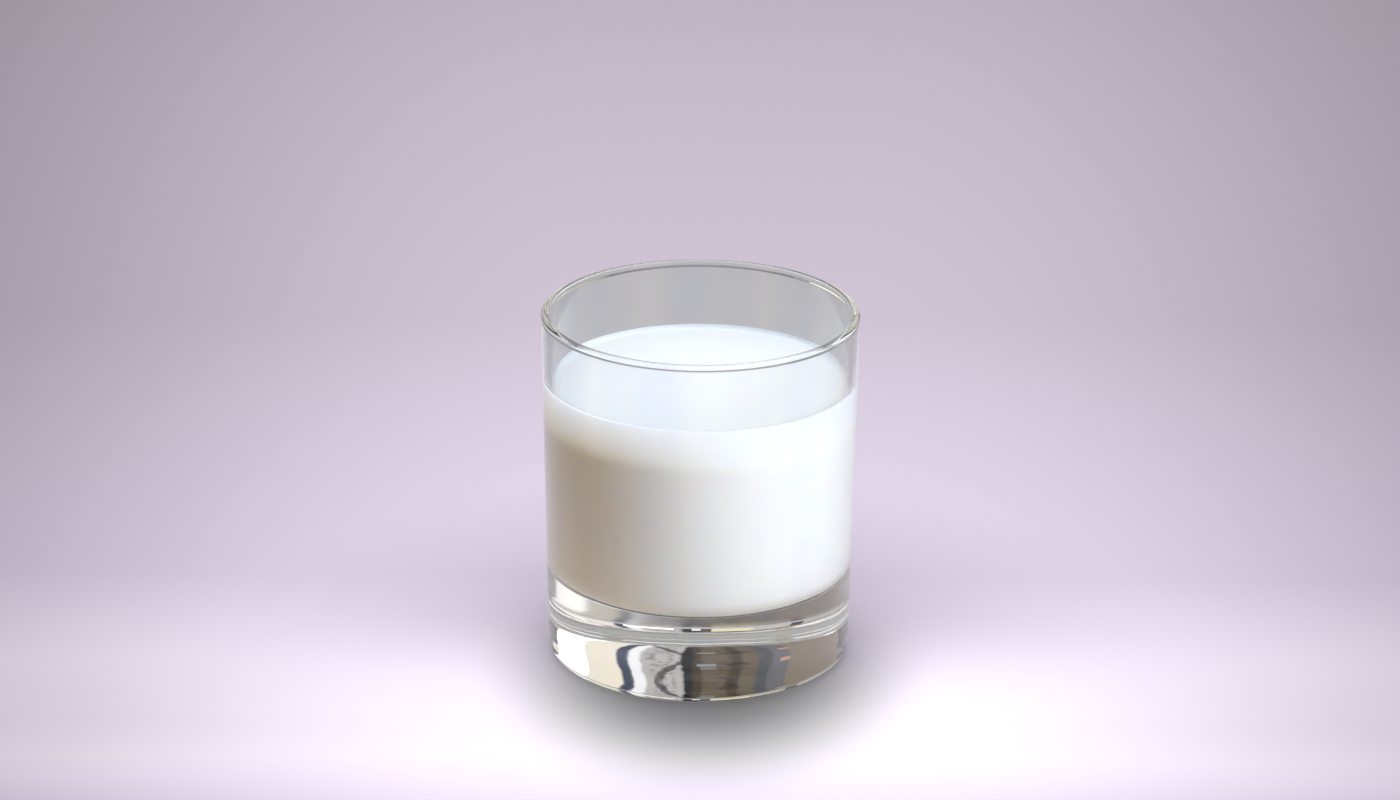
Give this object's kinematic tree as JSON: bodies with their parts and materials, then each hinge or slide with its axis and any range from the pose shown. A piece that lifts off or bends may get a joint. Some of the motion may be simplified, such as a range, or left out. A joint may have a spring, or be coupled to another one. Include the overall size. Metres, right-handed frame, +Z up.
{
  "type": "glass of milk",
  "caption": "Straight-sided clear tumbler with a thick solid base and a rounded lip, filled with milk to a little below the rim, for setting on a table or tray.",
  "frame": {"origin": "middle of the foot, on the surface the glass stands on", "axes": "+Z up, along the glass's axis of symmetry; the glass is round, so X and Y are free"},
  "size_m": [0.082, 0.082, 0.094],
  "materials": {
    "glass": "clear pressed glass, fire-polished, with a faint green-grey at its edges",
    "milk": "cool white liquid, opaque, with a smooth wet surface"
  },
  "bodies": {
    "root": {"tumbler": "glass", "milk": "milk"}
  },
  "joints": []
}
